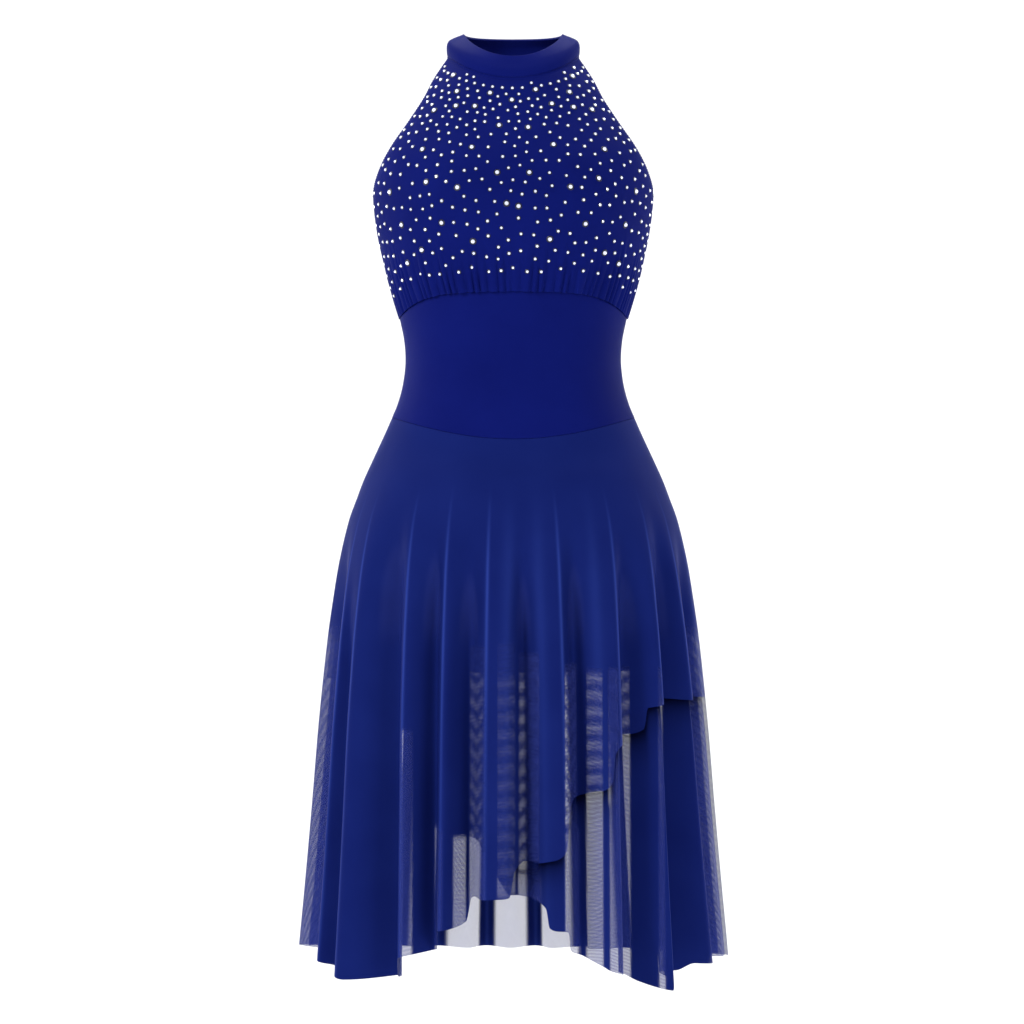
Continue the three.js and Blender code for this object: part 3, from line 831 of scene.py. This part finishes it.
def crest_highlight_at(folds, angle, z):
    """Thin painted highlights where the cloth turns over a crest and its threads crowd."""
    most = np.zeros(z.shape)
    for i in range(1, len(folds["share"]) - 1):
        if folds["share"][i] > CREST_HIGHLIGHT["most_share"]:
            continue
        flank = min(folds["hem"][i] - folds["hem"][i - 1], folds["hem"][i + 1] - folds["hem"][i])
        is_sharp = folds["share"][i] == 0 and flank < CREST_HIGHLIGHT["sharp_flank"]
        look = SHARP_CREST_HIGHLIGHT if is_sharp else SOFT_CREST_HIGHLIGHT
        away = (angle - fold_angle(folds, i, z)) / look["spread"]
        most = np.maximum(most, look["strength"] * np.exp(-(away**2)))
    dimmed = 1 - CREST_HIGHLIGHT_DIMS["by"] * smooth((CREST_HIGHLIGHT_DIMS["from"] - z) / CREST_HIGHLIGHT_DIMS["over"])
    return most * smooth((CREST_HIGHLIGHT["top"] - z) / CREST_HIGHLIGHT["fade"]) * dimmed


def shade_at(z, angle, other_hem):
    """The outer panel's shadow on the inner one, just below its hem."""
    below = other_hem(angle) - z
    return np.where(below > -SHADE["above"], np.exp(-np.maximum(below, 0) / SHADE["fade"]), 0)


def net_points(side, folds, hem, step, angle, level):
    top = waist_height(side, angle)
    lift = TROUGH_LIFT * fold_share(folds, angle, hem(angle))
    z = mix(top, hem(angle) + lift, level)
    share = fold_share(folds, angle, z) * smooth(from_seam(side, angle) / SEAM_EASE)
    points = hanging_point(skirt, side, angle, top - z, z, fold_depth(z) * share)
    inward = mix(step["seam"], step["full"], smooth((top - z) / HIP_BLEND))
    if step["full"]:
        points = points - normals(points) * inward[..., None]
    return parted(points, side), z, share


def make_net(name, side, own_hem, other_hem, step, material):
    folds = front_folds if side == "front" else back_folds
    angle, level = side_lattice(side, 620, 118)
    points, z, share = net_points(side, folds, own_hem, step, angle, level)
    values = cover_at(side, points, angle, share, other_hem)
    # The crest attribute is a painted highlight along the fold crests.
    values["crest"] = crest_highlight_at(folds, angle, z)
    values["shade"] = shade_at(z, angle, other_hem) if step["full"] else 0 * z
    obj = grid_mesh(f"{name}_net", points, values=values)
    obj.data.materials.append(material)
    return obj


ON_SEAM = {"seam": 0, "full": 0}
net_panels = {
    "skirt_front_over": ("front", hems["over"], hems["under"], ON_SEAM, net_over),
    "skirt_front_under": ("front", hems["under"], hems["over"], NET_STEP, net_under),
    "skirt_back": ("back", hems["back"], None, ON_SEAM, net_back),
}
net_pieces = {name: make_net(name, *panel) for name, panel in net_panels.items()}

# %% [markdown]
# ## The stones
#
# Foil-backed glass stones are glued on the front of the bodice: close together round the collar, and
# wider apart over the bust. They stop two centimetres above the gathered seam. Large stones come first,
# then a row along the collar, and then small ones wherever there is room.

# %% Where the stones sit
STONE = {"small": 2.9, "large": 4.5}
STONES_END = 20
STUDDED = {"angle": 83, "levels": (0.02, 0.97), "armhole_angle": 78, "underarm": -140}
STONE_SPACING = {"collar": 8.6, "more": 3.2, "from": 50, "over": 90}
FIRST_ROW = {"level": 0.05, "first": -70, "last": 71, "step": 7.7, "clear": 1.5}
TRIED_PLACES = 60000
FRONT_DISTANCE, FRONT_HEIGHT = 3000, -481
LARGE_STONES = table(
    ["across", "down"],
    [
        [0, -44], [25, -35], [39, -49], [59, -35], [62, -19], [62, -51], [84, -55], [14, -72],
        [44, -93], [96, -95], [19, -120], [59, -137], [92, -129], [7, -155], [77, -175], [41, -193],
        [118, -175], [95, -204], [113, -216], [130, -143],
    ],
)


def front_lattice():
    """Places all over the front panel, how each is seen, and whether it is clear of the edges."""
    angles = np.linspace(-STUDDED["angle"], STUDDED["angle"], 600)
    angle, level = np.meshgrid(angles, np.linspace(*STUDDED["levels"], 300))
    points = bodice_point("front", angle, level)
    facing = normals(points)
    height = points[..., 2] - bodice_point("front", angle, 1 + 0 * level)[..., 2]
    points = points + facing * gather_push("front", angle, height)[..., None]
    nearer = FRONT_DISTANCE / (FRONT_DISTANCE + points[..., 1])
    above = (points[..., 2] - FRONT_HEIGHT) * nearer
    seen = np.stack([points[..., 0] * nearer, above + FRONT_HEIGHT], -1)
    off_armhole = (np.abs(angle) < STUDDED["armhole_angle"]) | (points[..., 2] < STUDDED["underarm"])
    clear = (height > STONES_END) & off_armhole
    return points.reshape(-1, 3), facing.reshape(-1, 3), seen.reshape(-1, 2), clear.ravel()


def stone_spacing(z):
    wider = smooth((-z - STONE_SPACING["from"]) / STONE_SPACING["over"])
    return STONE_SPACING["collar"] + STONE_SPACING["more"] * wider


def lay_stones(seed):
    """Rows of x, y, z, the facing and the stone's width."""
    rng = np.random.default_rng(seed)
    points, facing, seen, clear = front_lattice()
    laid = []

    def lay(i, width):
        laid.append((*points[i], *facing[i], width))

    def room_round(place):
        return np.linalg.norm(np.array(laid)[:, :3] - place, axis=1).min()

    for across, down in zip(*LARGE_STONES.values()):
        for side in (-1, 1) if across else (1,):
            x, z = side * across + rng.uniform(-2, 2), down + rng.uniform(-2, 2)
            lay(int(np.argmin(np.hypot(seen[:, 0] - x, seen[:, 1] - z))), STONE["large"])
    for angle in np.arange(FIRST_ROW["first"], FIRST_ROW["last"], FIRST_ROW["step"]):
        target = bodice_point("front", np.array(angle), np.array(FIRST_ROW["level"]))
        if room_round(target) > FIRST_ROW["clear"] * STONE["large"]:
            lay(int(np.argmin(np.linalg.norm(points - target, axis=1))), STONE["small"])
    for i in rng.permutation(len(points))[:TRIED_PLACES]:
        if clear[i] and room_round(points[i]) > stone_spacing(points[i, 2]):
            lay(i, STONE["small"] * rng.uniform(0.94, 1.06))
    return np.array(laid)


stones = lay_stones(seed=11)

# %% [markdown]
# ## Setting the stones with Geometry Nodes
#
# One tree sets a faceted, cone-cut form on every point, turned to the way the cloth faces there. Its
# named inputs are the cut's sizes. It runs twice on the same points: once for the glass, with eight
# sides, and once for a dark ring round each stone, which is a painted shadow.

# %% A tree that sets cut forms on points
def new_tree(name, sizes):
    """A tree from one geometry to another with named sizes, and what comes in by name."""
    tree = bpy.data.node_groups.new(name, "GeometryNodeTree")
    tree.interface.new_socket(name="Geometry", in_out="OUTPUT", socket_type="NodeSocketGeometry")
    kinds = {"Geometry": "NodeSocketGeometry", **sizes, "Material": "NodeSocketMaterial"}
    for title, kind in kinds.items():
        tree.interface.new_socket(name=title, in_out="INPUT", socket_type=kind)
    return tree, node(tree, "NodeGroupInput").outputs


def set_copies(tree, points, form, rotation, scale, material):
    """Puts the form on every point, makes the copies real and sends them out."""
    fields = {"Points": points, "Instance": form, "Rotation": rotation, "Scale": scale}
    placed = node(tree, "GeometryNodeInstanceOnPoints", fields).outputs["Instances"]
    real = node(tree, "GeometryNodeRealizeInstances", {"Geometry": placed}).outputs["Geometry"]
    finished = node(tree, "GeometryNodeSetMaterial", {"Geometry": real, "Material": material})
    node(tree, "NodeGroupOutput", {"Geometry": finished.outputs["Geometry"]})


def turned_to(tree, axis, direction):
    turned = node(tree, "FunctionNodeAlignRotationToVector", {"Vector": direction}, axis=axis)
    return turned.outputs["Rotation"]


def cut_forms_tree():
    sizes = dict.fromkeys(["Table Width", "Girdle Width", "Height"], "NodeSocketFloat")
    tree, given = new_tree("Cut forms on points", {"Sides": "NodeSocketInt", **sizes})
    cut = {
        "Vertices": given["Sides"],
        "Side Segments": 1,
        "Radius Top": maths(tree, "MULTIPLY", given["Table Width"], 0.5),
        "Radius Bottom": maths(tree, "MULTIPLY", given["Girdle Width"], 0.5),
        "Depth": given["Height"],
    }
    form = node(tree, "GeometryNodeMeshCone", cut, fill_type="NGON").outputs["Mesh"]

    def point_value(name, kind):
        return node(tree, "GeometryNodeInputNamedAttribute", {"Name": name}, data_type=kind).outputs[0]

    rotation = turned_to(tree, "Z", point_value("facing", "FLOAT_VECTOR"))
    scale = point_value("wide", "FLOAT")
    set_copies(tree, given["Geometry"], form, rotation, scale, given["Material"])
    return tree


def points_object(name, laid, lift):
    """A mesh of bare points, lifted off the cloth, with the attributes that the tree reads."""
    mesh = bpy.data.meshes.new(name)
    places = laid[:, :3] + laid[:, 3:6] * lift
    mesh.from_pydata((places * MM).tolist(), [], [])
    facing = mesh.attributes.new("facing", "FLOAT_VECTOR", "POINT")
    facing.data.foreach_set("vector", laid[:, 3:6].reshape(-1).astype(np.float32))
    wide = mesh.attributes.new("wide", "FLOAT", "POINT")
    wide.data.foreach_set("value", (laid[:, 6] * MM).astype(np.float32))
    return add_object(name, mesh)


def grow(obj, tree, values):
    """Runs a tree on an object and keeps the result as its plain mesh."""
    modifier = obj.modifiers.new("Grow", "NODES")
    modifier.node_group = tree
    for item in tree.interface.items_tree:
        if item.in_out == "INPUT" and item.name in values:
            modifier[item.identifier] = values[item.name]
    return apply_modifiers(obj)


# %% [markdown]
# ## Glass and painted shadow
#
# The stones are lead-free crystal glass with a silver foil behind them, so from any side they throw back
# the room's light. A shader that is more than half metal, with flat facets and a little light of its own,
# does that without tracing light through hundreds of prisms. The dark, smooth ring round each stone is a
# painted shadow.

# %% The stone materials
def stone_glass():
    material, tree = new_material("foil_backed_crystal")
    place = node(tree, "ShaderNodeTexCoord").outputs["Object"]
    speck = node(tree, "ShaderNodeTexVoronoi", {"Vector": place, "Scale": 1 / (1.2 * MM)})
    fields = {
        "Base Color": blend(tree, speck.outputs["Distance"], "#ffffff", "#cfd9ff"),
        "Metallic": 0.6,
        "Roughness": 0.22,
        "Emission Color": linear("#eef2ff"),
        "Emission Strength": 0.45,
    }
    set_surface(tree, principled(tree, fields))
    return material


def plain_matter(name, cloud_mm, low, high, roughness):
    """One stuff in two near colours, clouded."""
    material, tree = new_material(name)
    colour = blend(tree, clouding(tree, cloud_mm), low, high)
    set_surface(tree, principled(tree, {"Base Color": colour, "Roughness": roughness}))
    return material


# Painted shadow: a near-black, smooth stuff for the ring that stands for the shadow round each stone.
stone_shadow_matter = plain_matter("painted_stone_shadow", 2, "#020418", "#040728", 0.4)
forms = cut_forms_tree()
stone_piece = grow(
    points_object("stones", stones, lift=0.45),
    forms,
    {"Sides": 8, "Table Width": 0.62, "Girdle Width": 1.0, "Height": 0.34, "Material": stone_glass()},
)
# The dark rings under the stones are painted shadow.
shadow_rings_piece = grow(
    points_object("stone_shadow_rings", stones, lift=0.1),
    forms,
    {"Sides": 14, "Table Width": 1.45, "Girdle Width": 1.66, "Height": 0.1, "Material": stone_shadow_matter},
)

# %% [markdown]
# ## Stitching
#
# Stretch cloth is finished with a twin needle: two rows of short stitches side by side. They run along
# the armholes and the lining's hem, and one row holds the collar's seam. A second tree lays a stitch
# along a line at every step, so a line of points on the cloth is all that each row needs.

# %% A tree that lays stitches along a line
STITCH = {"Step": 3.0 * MM, "Length": 2.2 * MM, "Width": 0.45 * MM}


def stitches_tree():
    tree, given = new_tree("Stitches along a line", dict.fromkeys(STITCH, "NodeSocketFloat"))
    line = node(tree, "GeometryNodeMeshToCurve", {"Mesh": given["Geometry"]}).outputs["Curve"]
    steps = {"Curve": line, "Length": given["Step"]}
    stepped = node(tree, "GeometryNodeResampleCurve", steps, mode="LENGTH").outputs["Curve"]
    ball = node(tree, "GeometryNodeMeshIcoSphere", {"Radius": 0.5, "Subdivisions": 1})
    size = {"X": given["Length"], "Y": given["Width"], "Z": given["Width"]}
    scale = node(tree, "ShaderNodeCombineXYZ", size).outputs["Vector"]
    rotation = turned_to(tree, "X", node(tree, "GeometryNodeInputTangent").outputs[0])
    set_copies(tree, stepped, ball.outputs["Mesh"], rotation, scale, given["Material"])
    return tree


def line_object(name, lines):
    mesh = bpy.data.meshes.new(name)
    places, edges = [], []
    for line in lines:
        first = len(places)
        places += (line * MM).tolist()
        edges += [(first + i, first + i + 1) for i in range(len(line) - 1)]
    mesh.from_pydata(places, edges, [])
    return add_object(name, mesh)


# %% The rows of stitches
STITCH_LIFT = 0.1
ARMHOLE_ROWS = {"insets": (4.0, 6.5), "from": 0.03, "to": 0.6, "slant": 1.3, "lift": 0.12}
HEM_ROWS = (11.0, 14.0)


def collar_stitch_line():
    angle, level = np.meshgrid(np.linspace(-180, 180, 241), [0.14, 0.09, 0.04])
    grid = collar_point(angle, level)
    return (grid + normals(grid) * STITCH_LIFT)[1]


def armhole_stitch_lines(side):
    """Two rows just inside each armhole edge, from the collar down to the underarm."""
    lines = []
    first, last = SIDES[side]
    level = np.linspace(ARMHOLE_ROWS["from"], ARMHOLE_ROWS["to"], 90)[:, None]
    for inset in ARMHOLE_ROWS["insets"]:
        turn = np.degrees(inset / bodice["half"](level)) * ARMHOLE_ROWS["slant"]
        for middle in (first + turn, last - turn):
            angle = middle + np.array([-0.5, 0, 0.5])
            grid = parted(bodice_point(side, angle, level + 0 * angle), side)
            lines.append((grid + normals(grid) * ARMHOLE_ROWS["lift"])[:, 1])
    return lines


def lining_hem_lines(side):
    lines = []
    for above in HEM_ROWS:
        around = np.linspace(*SIDES[side], 160)[1:-1]
        angle, z = np.meshgrid(around, LINING_HEM + above + np.array([1, 0, -1]))
        drop = waist_height(side, angle) - z
        grid = parted(hanging_point(lining, side, angle, drop, z, 0), side)
        lines.append((grid + normals(grid) * STITCH_LIFT)[1])
    return lines


stitches = stitches_tree()
stitch_rows = {"collar_stitches": [collar_stitch_line()]}
for side in SIDES:
    stitch_rows[f"armhole_{side}_stitches"] = armhole_stitch_lines(side)
    stitch_rows[f"lining_{side}_stitches"] = lining_hem_lines(side)
stitch_pieces = {
    name: grow(line_object(name, lines), stitches, {**STITCH, "Material": thread_cloth})
    for name, lines in stitch_rows.items()
}

# %% [markdown]
# ## Put each piece on the body
#
# Every piece rides on the one body, because cloth has no joints, and the solid that it stands for is
# hidden. What is sewn or glued on a sheet rides on the body with it.


def declare(obj, node_name, slot, *sewn_on):
    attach(obj, "root")
    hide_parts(node_name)
    for piece in sewn_on:
        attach(piece, "root")


declare(collar_piece, "collar", "spandex", stitch_pieces["collar_stitches"])
for side in SIDES:
    declare(waistband_pieces[side], f"waistband_{side}", "spandex")
    declare(lining_pieces[side], f"lining_{side}", "lining", stitch_pieces[f"lining_{side}_stitches"])
for node_name, obj in net_pieces.items():
    declare(obj, node_name, "stretch_net")
armholes = {side: stitch_pieces[f"armhole_{side}_stitches"] for side in SIDES}
studs = (stone_piece, shadow_rings_piece)
declare(bodice_pieces["front"], "bodice_front", "spandex_bodice", *studs, armholes["front"])
declare(bodice_pieces["back"], "bodice_back", "spandex_bodice", armholes["back"])

# %% [markdown]
# ## The studio
#
# The dress is shown in front of a pale seamless sweep: a floor that turns up into a wall. Large soft
# lights stand to both sides of the camera, a pair behind the dress draws its folds' edges, and one more
# brightens the wall.

# %% The sweep
FLOOR = -1.35
SWEEP = {"front": -6.0, "bends_at": 2.2, "bend": 1.2, "top": 4.5, "half_width": 7}


def studio_sweep():
    bend = SWEEP["bend"]
    profile = [(SWEEP["front"], FLOOR)]
    for turn in np.radians(np.linspace(0, 90, 13)):
        y = SWEEP["bends_at"] + bend * math.sin(turn)
        profile.append((y, FLOOR + bend * (1 - math.cos(turn))))
    profile.append((SWEEP["bends_at"] + bend, SWEEP["top"]))
    sides = (-SWEEP["half_width"], SWEEP["half_width"])
    places = [(x, y, z) for x in sides for y, z in profile]
    n = len(profile)
    faces = [(i, i + n, i + n + 1, i + 1) for i in range(n - 1)]
    mesh = bpy.data.meshes.new("studio_sweep")
    mesh.from_pydata(places, [], faces)
    mesh.polygons.foreach_set("use_smooth", [True] * len(mesh.polygons))
    obj = add_object("studio_sweep", mesh)
    mesh.materials.append(plain_matter("matt_paper", 1250, "#f6f6f5", "#fafafa", 0.9))


studio_sweep()


# %% The lights
AIM = Vector((0, 0, -0.5))


def soft_light(name, at, size, watts):
    light = bpy.data.lights.new(name, "AREA")
    light.shape, light.size, light.size_y = "RECTANGLE", size[0], size[1]
    light.energy = watts
    obj = add_object(name, light)
    obj.location = at
    obj.rotation_euler = (AIM - Vector(at)).to_track_quat("-Z", "Y").to_euler()


soft_light("key", (-2.2, -2.0, 1.3), (0.9, 1.2), 76)
soft_light("fill", (2.0, -2.6, 0.3), (1.2, 1.8), 38)
soft_light("edge_left", (-2.0, 0.9, 0.1), (0.5, 2.0), 14)
soft_light("edge_right", (2.0, 0.9, 0.1), (0.5, 2.0), 14)
soft_light("wall", (0, 1.2, 2.6), (5.0, 1.0), 150)

world = bpy.data.worlds.new("studio_air")
world.use_nodes = True
sky = world.node_tree.nodes["Background"]
sky.inputs["Color"].default_value = linear("#f4f6ff")
sky.inputs["Strength"].default_value = 0.34
bpy.context.scene.world = world

# %% [markdown]
# ## The camera
#
# The dress is seen square on from three metres, at the height of its middle. The view is 1085 mm wide at
# the dress, which sets the lens, and the dress stands a hair aside from the view's middle. Many sheets of
# net lie behind each other, so light has to be let through more of them than Blender does unasked.

# %% The camera
VIEW_WIDTH, SENSOR, ASIDE = 1085.4, 36, -1.3
lens = bpy.data.cameras.new("camera")
lens.sensor_width = SENSOR
lens.lens = SENSOR * FRONT_DISTANCE / VIEW_WIDTH
camera = add_object("camera", lens)
camera.location = Vector((ASIDE, -FRONT_DISTANCE, FRONT_HEIGHT)) * MM
camera.rotation_euler = (math.radians(90), 0, 0)
bpy.context.scene.camera = camera
bpy.context.scene.cycles.transparent_max_bounces = 24
bpy.context.scene.view_settings.view_transform = "Standard"
